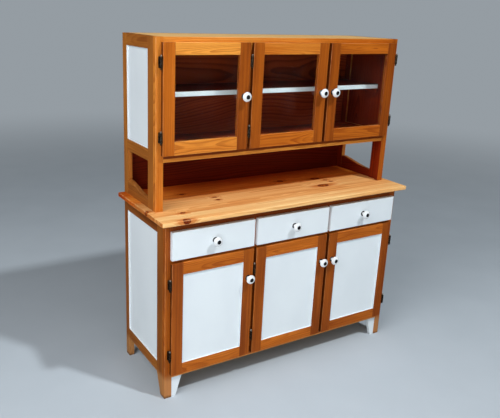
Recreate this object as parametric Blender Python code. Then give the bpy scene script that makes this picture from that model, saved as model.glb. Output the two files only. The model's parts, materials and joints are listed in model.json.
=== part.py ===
"""Kitchen dresser cabinet: a base with drawers and doors, a worktop, and a glazed hutch on top.

Metres, +Z up, floor at z = 0. The front faces -Y and left means -X."""

from math import pi

import bmesh
import bpy

# Fits between pieces
gap = 0.0003
pin_play = 0.0001
door_stand = 0.0005
drawer_play = 0.0008
housing_depth = 0.006
groove_depth = 0.008

# Overall sizes
body_width = 1.300
base_depth = 0.442
worktop_height = 0.850
total_height = 1.566
hutch_setback = 0.098

# Worktop
worktop_thickness = 0.020
worktop_side_overhang = 0.032
worktop_front_overhang = 0.043
worktop_edge_round = 0.004

# Boards that both units share
face_frame_thickness = 0.022
face_stile_width = 0.035
muntin_width = 0.040
board_thickness = 0.018
back_thickness = 0.008
panel_thickness = 0.006
panel_recess = 0.007

# Base frames
base_side_thickness = 0.025
base_top_rail = 0.055
base_middle_rail = 0.040
base_bottom_rail = 0.050
rail_clearance = 0.100
drawer_opening_height = 0.093
front_post_depth = 0.079
front_foot_depth = 0.040
rear_post_depth = 0.038
base_side_bottom_rail = 0.053
base_side_top_rail = 0.060
bracket_top_width = 0.050
bracket_foot_width = 0.021
bracket_thickness = 0.019

# Inside of the base
bottom_board_rise = 0.027
base_shelf_rise = 0.245
base_shelf_depth = 0.320
batten_width = 0.015
batten_height = 0.022
runner_width = 0.060
runner_thickness = 0.018
guide_width = 0.036
guide_height = 0.038
side_guide_width = 0.008

# Hutch
hutch_side_thickness = 0.022
hutch_front_post_depth = 0.076
hutch_rear_post_depth = 0.045
hutch_top_rail = 0.050
niche_height = 0.2115
hutch_bottom_rail = 0.050
hutch_side_middle_rail = 0.052
hutch_side_middle_drop = 0.004
hutch_board_rise = 0.0225
hutch_shelf_rise = 0.2565
hutch_shelf_thickness = 0.020
hutch_shelf_setback = 0.082
curve_front_height = 0.0395
curve_rear_height = 0.067
curve_crest_pull = 0.080
curve_crest_share = 0.10
curve_foot_share = 0.55

# Doors and drawer fronts
front_side_inset = 0.024
front_gap = 0.016
front_thickness = 0.0185
door_stile_width = 0.053
upper_door_rise = 0.0305
upper_door_drop = 0.020
upper_door_top_rail = 0.049
upper_door_bottom_rail = 0.057
lower_door_rise = 0.0205
lower_door_top_rail = 0.055
lower_door_bottom_rail = 0.053
glass_thickness = 0.004
drawer_front_drop = 0.0349
drawer_front_height = 0.1264
drawer_door_gap = 0.0137

# Drawer boxes
drawer_back_clearance = 0.034
drawer_headroom = 0.009
drawer_box_clearance = 0.0035
drawer_wall = 0.012
drawer_bottom_thickness = 0.009

# Knobs
knob_reach = 0.037
knob_radius = 0.021
knob_neck_radius = 0.0065
knob_foot_radius = 0.0128
knob_foot_thickness = 0.0030
knob_rod_radius = 0.0025
knob_rod_length = 0.014
upper_knob_rise = 0.005
lower_knob_drop = 0.135

# Hinges
barrel_radius = 0.0055
pin_radius = 0.0020
barrel_length = 0.044
middle_knuckle_length = 0.014
finial_length = 0.008
finial_radius = 0.0040
axis_depth = 0.0010
leaf_thickness = 0.0020
leaf_play = 0.0007
leaf_sink = 0.0005
foot_side_play = 0.0010
upper_hinge_inset = 0.077
lower_hinge_inset = 0.098

# Fineness of round pieces
knob_steps = 20
hinge_steps = 12
curve_steps = 14

# Planes that several pieces are measured from
overlay = door_stand + front_thickness
front_reach = max(worktop_front_overhang, overlay + knob_reach)
front = (front_reach - base_depth) / 2
rear = front + base_depth
hutch_front = front + hutch_setback
back_front = rear - back_thickness
half_width = body_width / 2
base_inner = half_width - base_side_thickness
hutch_inner = half_width - hutch_side_thickness
worktop_bottom = worktop_height - worktop_thickness
fronts_width = body_width - 2 * front_side_inset
front_width = (fronts_width - 2 * front_gap) / 3
front_pitch = front_width + front_gap
columns = ("left", "middle", "right")
sides = (("left", -1), ("right", 1))

# Rails of the base, from the top down
base_opening_top = worktop_bottom - base_top_rail
drawer_opening_bottom = base_opening_top - drawer_opening_height
door_opening_top = drawer_opening_bottom - base_middle_rail
door_opening_bottom = rail_clearance + base_bottom_rail
bottom_board_height = rail_clearance + bottom_board_rise
base_shelf_height = bottom_board_height + base_shelf_rise

# Fronts of the base, from the top down
drawer_front_top = worktop_bottom - drawer_front_drop
drawer_front_bottom = drawer_front_top - drawer_front_height
lower_door_top = drawer_front_bottom - drawer_door_gap
lower_door_bottom = rail_clearance + lower_door_rise

# Rails, boards and doors of the hutch
niche_top = worktop_height + niche_height
hutch_opening_bottom = niche_top + hutch_bottom_rail
hutch_opening_top = total_height - hutch_top_rail
hutch_board_height = niche_top + hutch_board_rise
hutch_shelf_height = niche_top + hutch_shelf_rise
upper_door_top = total_height - upper_door_drop
upper_door_bottom = niche_top + upper_door_rise

finishes = {
    "pine": ((0.58, 0.24, 0.06, 1), 0.35, 0.0, 0.0),
    "honey_pine": ((0.72, 0.42, 0.17, 1), 0.35, 0.0, 0.0),
    "dark_pine": ((0.20, 0.06, 0.02, 1), 0.45, 0.0, 0.0),
    "white_paint": ((0.80, 0.83, 0.85, 1), 0.40, 0.0, 0.0),
    "raw_pine": ((0.70, 0.52, 0.32, 1), 0.60, 0.0, 0.0),
    "clear_glass": ((0.95, 0.97, 0.97, 1), 0.03, 0.0, 1.0),
    "porcelain": ((0.85, 0.86, 0.86, 1), 0.12, 0.0, 0.0),
    "pewter": ((0.16, 0.13, 0.10, 1), 0.38, 1.0, 0.0),
}


def clear_scene():
    for obj in list(bpy.data.objects):
        bpy.data.objects.remove(obj)


def object_from(shape, name):
    """Turns a finished bmesh into an object with its faces turned outward."""
    bmesh.ops.recalc_face_normals(shape, faces=shape.faces)
    mesh = bpy.data.meshes.new(name)
    shape.to_mesh(mesh)
    shape.free()
    obj = bpy.data.objects.new(name, mesh)
    bpy.context.scene.collection.objects.link(obj)
    return obj


def block(name, x, y, z, grown=0.0):
    """A rectangular piece between (low, high) pairs, made larger all round by grown."""
    shape = bmesh.new()
    bmesh.ops.create_cube(shape, size=1.0)
    for vertex in shape.verts:
        for axis, (low, high) in enumerate((x, y, z)):
            middle = (low + high) / 2
            vertex.co[axis] = middle + vertex.co[axis] * (high - low + 2 * grown)
    return object_from(shape, name)


def drawn_out(name, outline, axis, low, high):
    """A piece of constant section. The outline lies across the axis, in the order x, y, z."""
    shape = bmesh.new()
    corners = []
    for first, second in outline:
        place = [first, second]
        place.insert("xyz".index(axis), low)
        corners.append(shape.verts.new(place))
    face = shape.faces.new(corners)
    pulled = bmesh.ops.extrude_face_region(shape, geom=[face])
    for item in pulled["geom"]:
        if isinstance(item, bmesh.types.BMVert):
            item.co["xyz".index(axis)] = high
    return object_from(shape, name)


def turned(name, profile, place, axis, steps, closed=False):
    """A round piece. The profile holds (radius, distance along the axis) from the place."""
    shape = bmesh.new()
    points = []
    for radius, along in profile:
        offset = (radius, 0.0, along) if axis == "z" else (radius, -along, 0.0)
        points.append(shape.verts.new([start + step for start, step in zip(place, offset)]))
    edges = [shape.edges.new(pair) for pair in zip(points, points[1:])]
    if closed:
        edges.append(shape.edges.new((points[-1], points[0])))
    direction = (0, 0, 1) if axis == "z" else (0, 1, 0)
    bmesh.ops.spin(
        shape, geom=points + edges, cent=place, axis=direction, angle=2 * pi, steps=steps, use_merge=True
    )
    bmesh.ops.remove_doubles(shape, verts=shape.verts, dist=1e-6)
    return object_from(shape, name)


def combine(piece, tool, operation):
    modifier = piece.modifiers.new(tool.name, "BOOLEAN")
    modifier.operation = operation
    modifier.solver = "EXACT"
    modifier.object = tool
    tool.hide_render = True
    tool.display_type = "WIRE"
    tool.parent = piece.parent


def cut(piece, *tools):
    for tool in tools:
        combine(piece, tool, "DIFFERENCE")


def join(piece, *tools):
    for tool in tools:
        combine(piece, tool, "UNION")


def finish(piece, kind):
    """Gives the piece a material of its own."""
    colour, roughness, metallic, transmission = finishes[kind]
    material = bpy.data.materials.new(piece.name + "_" + kind)
    material.use_nodes = True
    surface = material.node_tree.nodes["Principled BSDF"]
    surface.inputs["Base Color"].default_value = colour
    surface.inputs["Roughness"].default_value = roughness
    surface.inputs["Metallic"].default_value = metallic
    surface.inputs["Transmission Weight"].default_value = transmission
    material.diffuse_color = colour
    piece.data.materials.append(material)


def joint(name, place):
    """An empty on the joint axis that carries the moving pieces."""
    carrier = bpy.data.objects.new(name, None)
    carrier.location = place
    carrier.empty_display_size = 0.03
    bpy.context.scene.collection.objects.link(carrier)
    return carrier


def carry(carrier, piece):
    """Hangs the piece, with the shapes that cut it, on a joint without moving it."""
    for obj in [piece] + [modifier.object for modifier in piece.modifiers if modifier.type == "BOOLEAN"]:
        obj.parent = carrier
        obj.location = [-offset for offset in carrier.location]


def column_edges(column, stile_inner):
    """The (low, high) x of the opening between the stiles and muntins in one column."""
    centre = (column - 1) * front_pitch
    half = (front_pitch - muntin_width) / 2
    low = -stile_inner if column == 0 else centre - half
    high = stile_inner if column == 2 else centre + half
    return low, high


def front_edges(column):
    """The (low, high) x of a door or drawer front in one column."""
    centre = (column - 1) * front_pitch
    return centre - front_width / 2, centre + front_width / 2


def mirrored(side, near, far):
    """An x pair on one side, from two distances off the middle plane."""
    return tuple(sorted((side * near, side * far)))


def make_worktop():
    half = half_width + worktop_side_overhang
    worktop = block("worktop", (-half, half), (front - worktop_front_overhang, rear),
                    (worktop_bottom, worktop_height))
    rounding = worktop.modifiers.new("rounded edges", "BEVEL")
    rounding.width = worktop_edge_round
    rounding.segments = 3
    finish(worktop, "honey_pine")


def make_base_side(label, side):
    """A side frame with its legs and batten, and the white panel in its grooves."""
    frame_front = front + face_frame_thickness + gap
    top = worktop_bottom - gap
    outline = (
        (frame_front, 0.0),
        (front + front_foot_depth, 0.0),
        (front + front_post_depth, rail_clearance),
        (rear - rear_post_depth, rail_clearance),
        (rear - rear_post_depth, 0.0),
        (rear, 0.0),
        (rear, top),
        (frame_front, top),
    )
    inner, outer = mirrored(side, base_inner, half_width)
    frame = drawn_out("base_" + label + "_side_frame", outline, "x", inner, outer)
    opening_y = (front + front_post_depth, rear - rear_post_depth)
    opening_z = (rail_clearance + base_side_bottom_rail, worktop_bottom - base_side_top_rail)
    name = "base_" + label + "_side"
    cut(frame, block(name + "_opening", (inner - gap, outer + gap), opening_y, opening_z))
    panel_x = mirrored(side, half_width - panel_recess - panel_thickness, half_width - panel_recess)
    panel_y = (opening_y[0] - groove_depth, opening_y[1] + groove_depth)
    panel_z = (opening_z[0] - groove_depth, opening_z[1] + groove_depth)
    panel = block(name + "_panel", panel_x, panel_y, panel_z)
    cut(frame, block(name + "_groove", panel_x, panel_y, panel_z, grown=gap))
    batten_x = mirrored(side, base_inner - batten_width, base_inner + housing_depth / 2)
    batten_z = (base_shelf_height - gap - batten_height, base_shelf_height - gap)
    join(frame, block(name + "_batten", batten_x, (rear - base_shelf_depth, rear - rear_post_depth / 2),
                      batten_z))
    cut(frame, housing(name + "_bottom_housing", side, base_inner, bottom_board_y(), bottom_board_z()))
    cut(frame, housing(name + "_runner_housing", side, base_inner, runner_y(), runner_z()))
    finish(frame, "pine")
    finish(panel, "white_paint")


def housing(name, side, inner, y, z):
    """The slot in a side frame that a board end is let into."""
    return block(name, mirrored(side, inner - housing_depth, inner + housing_depth), y, z, grown=gap)


def bottom_board_y():
    return front + face_frame_thickness + gap, back_front - gap


def bottom_board_z():
    return bottom_board_height, bottom_board_height + board_thickness


def runner_y():
    return front + face_frame_thickness + gap, back_front - gap


def runner_z():
    return drawer_opening_bottom - runner_thickness, drawer_opening_bottom


def make_base_face_frame():
    """Stiles that run down to the floor, with rails and muntins round the openings."""
    stile_inner = half_width - face_stile_width
    top = worktop_bottom - gap
    outline = (
        (-half_width, 0.0),
        (-stile_inner, 0.0),
        (-stile_inner, rail_clearance),
        (stile_inner, rail_clearance),
        (stile_inner, 0.0),
        (half_width, 0.0),
        (half_width, top),
        (-half_width, top),
    )
    frame = drawn_out("base_face_frame", outline, "y", front, front + face_frame_thickness)
    through = (front - gap, front + face_frame_thickness + gap)
    for column, label in enumerate(columns):
        x = column_edges(column, stile_inner)
        cut(frame, block(label + "_drawer_opening", x, through, (drawer_opening_bottom, base_opening_top)))
        cut(frame, block(label + "_door_opening", x, through, (door_opening_bottom, door_opening_top)))
    finish(frame, "pine")


def make_foot_bracket(label, side):
    """A white tapered block in the corner between a front leg and the bottom rail."""
    post = half_width - face_stile_width - gap
    outline = (
        (side * post, 0.0),
        (side * post, rail_clearance - gap),
        (side * (post - bracket_top_width), rail_clearance - gap),
        (side * (post - bracket_foot_width), 0.0),
    )
    y = front + (face_frame_thickness - bracket_thickness) / 2
    bracket = drawn_out(label + "_foot_bracket", outline, "y", y, y + bracket_thickness)
    finish(bracket, "white_paint")


def make_base_inside():
    let_in = base_inner + housing_depth
    bottom = block("base_bottom_board", (-let_in, let_in), bottom_board_y(), bottom_board_z())
    finish(bottom, "raw_pine")
    between = base_inner - gap
    shelf = block("base_shelf", (-between, between), (rear - base_shelf_depth, back_front - gap),
                  (base_shelf_height, base_shelf_height + board_thickness))
    finish(shelf, "raw_pine")
    back = block("base_back_panel", (-between, between), (back_front, rear),
                 (rail_clearance, worktop_bottom - gap))
    finish(back, "dark_pine")


def make_runner_frame():
    """The flat frame that the drawers slide on, with the guides that steer them."""
    let_in = base_inner + housing_depth
    low, high = runner_y()
    frame = block("drawer_runner_frame", (-let_in, let_in), (low, high), runner_z())
    for column, label in enumerate(columns):
        centre = (column - 1) * front_pitch
        half = (front_pitch - runner_width) / 2
        hollow_z = (drawer_opening_bottom - runner_thickness - gap, drawer_opening_bottom + gap)
        cut(frame, block(label + "_runner_hollow", (centre - half, centre + half),
                         (low + runner_width, high - runner_width), hollow_z))
    guide_z = (drawer_opening_bottom - runner_thickness / 2, drawer_opening_bottom + guide_height)
    for label, side in sides:
        middle = side * front_pitch / 2
        between = (middle - guide_width / 2, middle + guide_width / 2)
        join(frame, block(label + "_middle_guide", between, (low, high), guide_z))
        beside = mirrored(side, base_inner - gap - side_guide_width, base_inner - gap)
        join(frame, block(label + "_side_guide", beside, (low, high), guide_z))
    finish(frame, "raw_pine")


def curved_edge():
    """Points of the S-shaped top edge of the lower board, from the rear post to the front post."""
    start = rear - hutch_rear_post_depth
    end = hutch_front + hutch_front_post_depth
    run = start - end
    handles = (
        (start, curve_rear_height),
        (start - curve_crest_share * run, curve_crest_pull),
        (start - curve_foot_share * run, curve_front_height),
        (end, curve_front_height),
    )
    points = []
    for step in range(curve_steps + 1):
        t = step / curve_steps
        weights = ((1 - t) ** 3, 3 * t * (1 - t) ** 2, 3 * t * t * (1 - t), t**3)
        y = sum(weight * handle[0] for weight, handle in zip(weights, handles))
        height = sum(weight * handle[1] for weight, handle in zip(weights, handles))
        points.append((y, worktop_height + height))
    return points


def hutch_board_z():
    return hutch_board_height, hutch_board_height + board_thickness


def make_hutch_side(label, side):
    """A side frame with the curved board below its window, and the white panel above."""
    name = "hutch_" + label + "_side"
    inner, outer = mirrored(side, hutch_inner, half_width)
    frame_y = (hutch_front + face_frame_thickness + gap, rear)
    frame = block(name + "_frame", (inner, outer), frame_y, (worktop_height + gap, total_height))
    opening_y = (hutch_front + hutch_front_post_depth, rear - hutch_rear_post_depth)
    window_top = niche_top - hutch_side_middle_drop
    opening_z = (window_top + hutch_side_middle_rail, total_height - hutch_top_rail)
    through = (inner - gap, outer + gap)
    cut(frame, block(name + "_opening", through, opening_y, opening_z))
    window = curved_edge() + [(opening_y[0], window_top), (opening_y[1], window_top)]
    cut(frame, drawn_out(name + "_window", window, "x", *through))
    panel_x = mirrored(side, half_width - panel_recess - panel_thickness, half_width - panel_recess)
    panel_y = (opening_y[0] - groove_depth, opening_y[1] + groove_depth)
    panel_z = (opening_z[0] - groove_depth, opening_z[1] + groove_depth)
    panel = block(name + "_panel", panel_x, panel_y, panel_z)
    cut(frame, block(name + "_groove", panel_x, panel_y, panel_z, grown=gap))
    batten_x = mirrored(side, hutch_inner - batten_width, hutch_inner + housing_depth / 2)
    batten_top = hutch_shelf_height - gap
    join(frame, block(name + "_batten", batten_x,
                      (hutch_front + hutch_shelf_setback, back_front - 2 * gap),
                      (batten_top - batten_height, batten_top)))
    cut(frame, housing(name + "_bottom_housing", side, hutch_inner, hutch_board_y(), hutch_board_z()))
    finish(frame, "pine")
    finish(panel, "white_paint")


def hutch_board_y():
    return hutch_front + face_frame_thickness + gap, back_front - gap


def make_hutch_face_frame():
    stile_inner = half_width - face_stile_width
    foot = worktop_height + gap
    outline = (
        (-half_width, foot),
        (-stile_inner, foot),
        (-stile_inner, niche_top),
        (stile_inner, niche_top),
        (stile_inner, foot),
        (half_width, foot),
        (half_width, total_height),
        (-half_width, total_height),
    )
    frame = drawn_out("hutch_face_frame", outline, "y", hutch_front, hutch_front + face_frame_thickness)
    through = (hutch_front - gap, hutch_front + face_frame_thickness + gap)
    for column, label in enumerate(columns):
        cut(frame, block(label + "_glazed_opening", column_edges(column, stile_inner), through,
                         (hutch_opening_bottom, hutch_opening_top)))
    finish(frame, "pine")


def make_hutch_boards():
    between = hutch_inner - gap
    top = block("hutch_top_board", (-between, between), hutch_board_y(),
                (total_height - board_thickness, total_height))
    finish(top, "pine")
    let_in = hutch_inner + housing_depth
    bottom = block("hutch_bottom_board", (-let_in, let_in), hutch_board_y(), hutch_board_z())
    finish(bottom, "pine")
    shelf = block("hutch_shelf", (-between, between),
                  (hutch_front + hutch_shelf_setback, back_front - gap),
                  (hutch_shelf_height, hutch_shelf_height + hutch_shelf_thickness))
    finish(shelf, "white_paint")
    back = block("hutch_back_panel", (-between, between), (back_front, rear),
                 (worktop_height + gap, total_height))
    finish(back, "dark_pine")


def make_knob(name, x, front_plane, z):
    """A mushroom knob on its round foot plate, with its threaded rod, and the hole for the rod."""
    neck = 0.35 * knob_reach
    profile = (
        (0.0, -knob_rod_length),
        (knob_rod_radius, -knob_rod_length),
        (knob_rod_radius, gap),
        (knob_foot_radius, gap),
        (knob_foot_radius * 0.95, knob_foot_thickness),
        (knob_neck_radius * 1.1, knob_foot_thickness + gap),
        (knob_neck_radius, neck),
        (0.80 * knob_radius, 0.50 * knob_reach),
        (knob_radius, 0.66 * knob_reach),
        (0.94 * knob_radius, 0.80 * knob_reach),
        (0.62 * knob_radius, 0.95 * knob_reach),
        (0.0, knob_reach),
    )
    place = (x, front_plane, z)
    knob = turned(name, profile, place, "y", knob_steps)
    finish(knob, "porcelain")
    bore = knob_rod_radius + gap
    hole_profile = ((0.0, -knob_rod_length - gap), (bore, -knob_rod_length - gap), (bore, gap), (0.0, gap))
    hole = turned(name + "_hole", hole_profile, place, "y", knob_steps)
    return knob, hole


def make_hinge_half(name, side, x, y, z, plate_y):
    """The fixed half: barrel ends, pin, finials, web and the foot on the face frame."""
    half = barrel_length / 2
    ring = middle_knuckle_length / 2 + gap
    tip = half + finial_length
    profile = (
        (0.0, -tip),
        (0.7 * finial_radius, -tip + 0.2 * finial_length),
        (finial_radius, -tip + 0.5 * finial_length),
        (0.6 * finial_radius, -half - 0.1 * finial_length),
        (barrel_radius, -half),
        (barrel_radius, -ring),
        (pin_radius, -ring),
        (pin_radius, ring),
        (barrel_radius, ring),
        (barrel_radius, half),
        (0.6 * finial_radius, half + 0.1 * finial_length),
        (finial_radius, tip - 0.5 * finial_length),
        (0.7 * finial_radius, tip - 0.2 * finial_length),
        (0.0, tip),
    )
    fixed = turned(name, profile, (x, y, z), "z", hinge_steps)
    near = y + 0.7 * barrel_radius
    clear = y + barrel_radius + leaf_play
    web = (
        (near, z - half),
        (plate_y, z - half),
        (plate_y, z + half),
        (near, z + half),
        (near, z + ring),
        (clear, z + ring),
        (clear, z - ring),
        (near, z - ring),
    )
    web_half = leaf_thickness / 2
    join(fixed, drawn_out(name + "_web", web, "x", x - web_half, x + web_half))
    away = front_gap / 2 - foot_side_play
    toward = barrel_radius - leaf_sink
    foot_x = tuple(sorted((x - side * away, x + side * toward)))
    join(fixed, block(name + "_foot", foot_x, (plate_y - leaf_thickness, plate_y), (z - half, z + half)))
    finish(fixed, "pewter")
    return fixed


def make_door_leaf(name, side, x, y, z):
    """The knuckle and leaf that turn with the door: shapes to be joined to its frame."""
    half = middle_knuckle_length / 2
    bore = pin_radius + pin_play
    ring_profile = ((bore, -half), (barrel_radius, -half), (barrel_radius, half), (bore, half))
    ring = turned(name + "_knuckle", ring_profile, (x, y, z), "z", hinge_steps, closed=True)
    near = barrel_radius + leaf_play
    far = front_gap / 2 + leaf_sink
    leaf_x = tuple(sorted((x + side * near, x + side * far)))
    leaf_z = (z - barrel_length / 2, z + barrel_length / 2)
    leaf = block(name + "_leaf", leaf_x, (y + 0.2 * leaf_thickness, y + front_thickness - 2 * leaf_thickness),
                 leaf_z)
    bridge_x = tuple(sorted((x + side * 0.7 * barrel_radius, x + side * (near + leaf_sink))))
    bridge_y = (y + 0.4 * leaf_thickness, y + 1.4 * leaf_thickness)
    bridge = block(name + "_bridge", bridge_x, bridge_y, (z - 0.8 * half, z + 0.8 * half))
    return ring, leaf, bridge


def make_door(tier, label, column):
    """One hinged door: frame, glass or panel, knob, and both its hinges."""
    upper = tier == "upper"
    face = hutch_front if upper else front
    bottom = upper_door_bottom if upper else lower_door_bottom
    top = upper_door_top if upper else lower_door_top
    top_rail = upper_door_top_rail if upper else lower_door_top_rail
    bottom_rail = upper_door_bottom_rail if upper else lower_door_bottom_rail
    filling_thickness = glass_thickness if upper else panel_thickness
    hinge_inset = upper_hinge_inset if upper else lower_hinge_inset
    side = -1 if label == "right" else 1
    name = tier + "_" + label + "_door"
    low, high = front_edges(column)
    front_plane = face - overlay
    hinge_edge, knob_edge = (low, high) if side == 1 else (high, low)
    axis_x = hinge_edge - side * front_gap / 2
    axis_y = front_plane + axis_depth

    frame = block(name + "_frame", (low, high), (front_plane, face - door_stand), (bottom, top))
    opening_x = (low + door_stile_width, high - door_stile_width)
    opening_z = (bottom + bottom_rail, top - top_rail)
    cut(frame, block(name + "_opening", opening_x, (front_plane - gap, face), opening_z))
    filling_x = (opening_x[0] - groove_depth, opening_x[1] + groove_depth)
    filling_y = (front_plane + panel_recess, front_plane + panel_recess + filling_thickness)
    filling_z = (opening_z[0] - groove_depth, opening_z[1] + groove_depth)
    filling = block(name + ("_glass" if upper else "_panel"), filling_x, filling_y, filling_z)
    cut(frame, block(name + "_groove", filling_x, filling_y, filling_z, grown=gap))

    knob_z = (bottom + top) / 2 + upper_knob_rise if upper else top - lower_knob_drop
    knob_x = knob_edge - side * door_stile_width / 2
    knob, hole = make_knob(name + "_knob", knob_x, front_plane, knob_z)
    cut(frame, hole)

    for place, hinge_z in (("bottom", bottom + hinge_inset), ("top", top - hinge_inset)):
        hinge = name + "_" + place + "_hinge"
        make_hinge_half(hinge, side, axis_x, axis_y, hinge_z, face - gap)
        join(frame, *make_door_leaf(hinge, side, axis_x, axis_y, hinge_z))

    finish(frame, "pine")
    finish(filling, "clear_glass" if upper else "white_paint")
    carrier = joint(name + "_axis", (axis_x, axis_y, bottom))
    for piece in (frame, filling, knob):
        carry(carrier, piece)


def make_drawer(label, column):
    """One drawer: white front, open box and knob."""
    name = label + "_drawer"
    low, high = front_edges(column)
    front_plane = front - overlay
    board = block(name + "_front", (low, high), (front_plane, front - door_stand),
                  (drawer_front_bottom, drawer_front_top))
    centre = (low + high) / 2
    middle_opening = column_edges(1, half_width)
    half = (middle_opening[1] - middle_opening[0]) / 2 - drawer_box_clearance
    floor = drawer_opening_bottom + drawer_play
    box_top = base_opening_top - drawer_headroom
    box_y = (front - door_stand + gap, back_front - drawer_back_clearance)
    box = block(name + "_box", (centre - half, centre + half), box_y, (floor, box_top))
    hollow_x = (centre - half + drawer_wall, centre + half - drawer_wall)
    hollow_y = (box_y[0] + drawer_wall, box_y[1] - drawer_wall)
    hollow_z = (floor + drawer_bottom_thickness, box_top + gap)
    cut(box, block(name + "_hollow", hollow_x, hollow_y, hollow_z))
    knob_z = (drawer_front_bottom + drawer_front_top) / 2
    knob, hole = make_knob(name + "_knob", centre, front_plane, knob_z)
    cut(board, hole)
    finish(board, "white_paint")
    finish(box, "raw_pine")
    carrier = joint(name + "_axis", (centre, front_plane, knob_z))
    for piece in (board, box, knob):
        carry(carrier, piece)


clear_scene()
make_worktop()
make_base_face_frame()
make_base_inside()
make_runner_frame()
make_hutch_face_frame()
make_hutch_boards()
for side_label, side_sign in sides:
    make_base_side(side_label, side_sign)
    make_foot_bracket(side_label, side_sign)
    make_hutch_side(side_label, side_sign)
for column_number, column_label in enumerate(columns):
    make_drawer(column_label, column_number)
    make_door("lower", column_label, column_number)
    make_door("upper", column_label, column_number)
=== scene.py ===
import json
import random
from math import pi, radians, tan

import bmesh
import bpy
from mathutils import Matrix, Vector

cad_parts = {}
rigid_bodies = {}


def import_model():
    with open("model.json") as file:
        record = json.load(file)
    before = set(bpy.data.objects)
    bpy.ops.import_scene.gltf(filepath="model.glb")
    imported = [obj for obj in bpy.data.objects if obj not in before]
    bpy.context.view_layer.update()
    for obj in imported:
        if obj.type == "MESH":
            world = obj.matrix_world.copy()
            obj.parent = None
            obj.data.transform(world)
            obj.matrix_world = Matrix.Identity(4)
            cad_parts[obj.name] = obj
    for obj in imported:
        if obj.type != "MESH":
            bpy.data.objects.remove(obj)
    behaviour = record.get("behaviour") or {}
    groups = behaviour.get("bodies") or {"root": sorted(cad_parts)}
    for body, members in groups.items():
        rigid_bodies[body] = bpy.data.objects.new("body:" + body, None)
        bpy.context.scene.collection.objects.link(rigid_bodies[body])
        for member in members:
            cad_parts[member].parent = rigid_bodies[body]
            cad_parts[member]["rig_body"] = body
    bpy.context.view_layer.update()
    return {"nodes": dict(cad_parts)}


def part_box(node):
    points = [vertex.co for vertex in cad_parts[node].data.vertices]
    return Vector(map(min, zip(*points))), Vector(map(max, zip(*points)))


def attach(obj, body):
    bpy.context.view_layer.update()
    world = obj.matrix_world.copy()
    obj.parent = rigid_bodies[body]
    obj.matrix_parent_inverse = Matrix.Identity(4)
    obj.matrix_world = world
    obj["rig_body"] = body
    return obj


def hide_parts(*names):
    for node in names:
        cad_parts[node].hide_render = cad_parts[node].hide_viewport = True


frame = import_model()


# The view: eye height a little above the hutch, to the left of the dresser, looking down on it. The
# middle of the picture is shifted off the lens's axis.
def linked(name, data, **settings):
    """A new object in the scene, for a mesh, a lamp or a camera with the given settings."""
    for setting, value in settings.items():
        setattr(data, setting, value)
    made = bpy.data.objects.new(name, data)
    bpy.context.scene.collection.objects.link(made)
    return made


view = linked("view", bpy.data.cameras.new("view"), sensor_width=36.0, lens=43.565, shift_x=0.05562,
              shift_y=-0.02194, clip_start=0.05)
right_hand = (0.861355, -0.506870, 0.033836)
upward = (0.121639, 0.270460, 0.955011)
backward = (-0.493215, -0.818494, 0.294620)
view.matrix_world = Matrix.Translation((-1.65296, -2.29860, 1.66688)) @ Matrix(
    (right_hand, upward, backward)).transposed().to_4x4()
bpy.context.scene.camera = view
bpy.context.scene.view_settings.view_transform = "Standard"


# The studio: a pale matt floor, a small lamp high on the right whose shadows fall to the left, a low and
# a high wide lamp in front, a third wide one on the left, and a weak grey sky that the floor fades into.
def fill(node, values):
    """Sets inputs of a node. Each value is a socket to read from, or a plain number, colour or vector.
    Colours are red, green and blue."""
    for place, value in values.items():
        if isinstance(value, bpy.types.NodeSocket):
            node.id_data.links.new(value, node.inputs[place])
        else:
            socket = node.inputs[place]
            socket.default_value = (*value, 1) if socket.type == "RGBA" else value


def put(tree, kind, values=None, **settings):
    """Adds a node with its settings and inputs. A kind without the word Node is one of the shader nodes."""
    made = tree.nodes.new(kind if "Node" in kind else f"ShaderNode{kind}")
    for setting, choice in settings.items():
        setattr(made, setting, choice)
    fill(made, values or {})
    return made


def maths(operation, first, *others):
    """Arithmetic on values, from left to right."""
    for other in others:
        first = put(first.id_data, "Math", {0: first, 1: other}, operation=operation).outputs[0]
    return first


def times(*values):
    """The product of values."""
    return maths("MULTIPLY", *values)


def vectors(operation, first, second=(0, 0, 0)):
    """One step of arithmetic on places or colours."""
    given = {0: first, "Scale" if operation == "SCALE" else 1: second}
    made = put(first.id_data, "VectorMath", given, operation=operation)
    return made.outputs["Value" if operation == "LENGTH" else "Vector"]


def between(share, first, second):
    """A colour between two others."""
    return put(share.id_data, "Mix", {0: share, 6: first, 7: second}, data_type="RGBA").outputs[2]


def cloud(place, stretch, detail=2, rough=0.5, out=0):
    """Noise whose size differs along the three axes: stretch is how many lumps there are in a metre."""
    return put(place.id_data, "TexNoise", {"Vector": vectors("MULTIPLY", place, stretch), "Scale": 1,
                                           "Detail": detail, "Roughness": rough}).outputs[out]


def ramp(value, low, high, to_low=0, to_high=1):
    """Rises smoothly from to_low at low to to_high at high."""
    return put(value.id_data, "MapRange", {0: value, 1: low, 2: high, 3: to_low, 4: to_high},
               interpolation_type="SMOOTHSTEP").outputs[0]


def own_place(tree):
    """Where a point lies in its piece."""
    return put(tree, "TexCoord").outputs["Object"]


def in_view(tree):
    """1 for a ray that the camera sends, straight or through a pane, else 0."""
    path = put(tree, "LightPath").outputs
    turned_back = maths("ADD", path["Diffuse Depth"], path["Glossy Depth"])
    through = times(path["Is Transmission Ray"], maths("LESS_THAN", turned_back, 0.5))
    return maths("MAXIMUM", path["Is Camera Ray"], through)


finishes = {}


def new_finish(name):
    """A new material: its tree and its surface."""
    material = finishes[name] = bpy.data.materials.new(name)
    material.use_nodes = True
    return material.node_tree, material.node_tree.nodes["Principled BSDF"]


def piece_of(name, shape):
    """A new piece with the given shape."""
    mesh = bpy.data.meshes.new(name)
    shape.to_mesh(mesh)
    shape.free()
    return linked(name, mesh)


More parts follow.
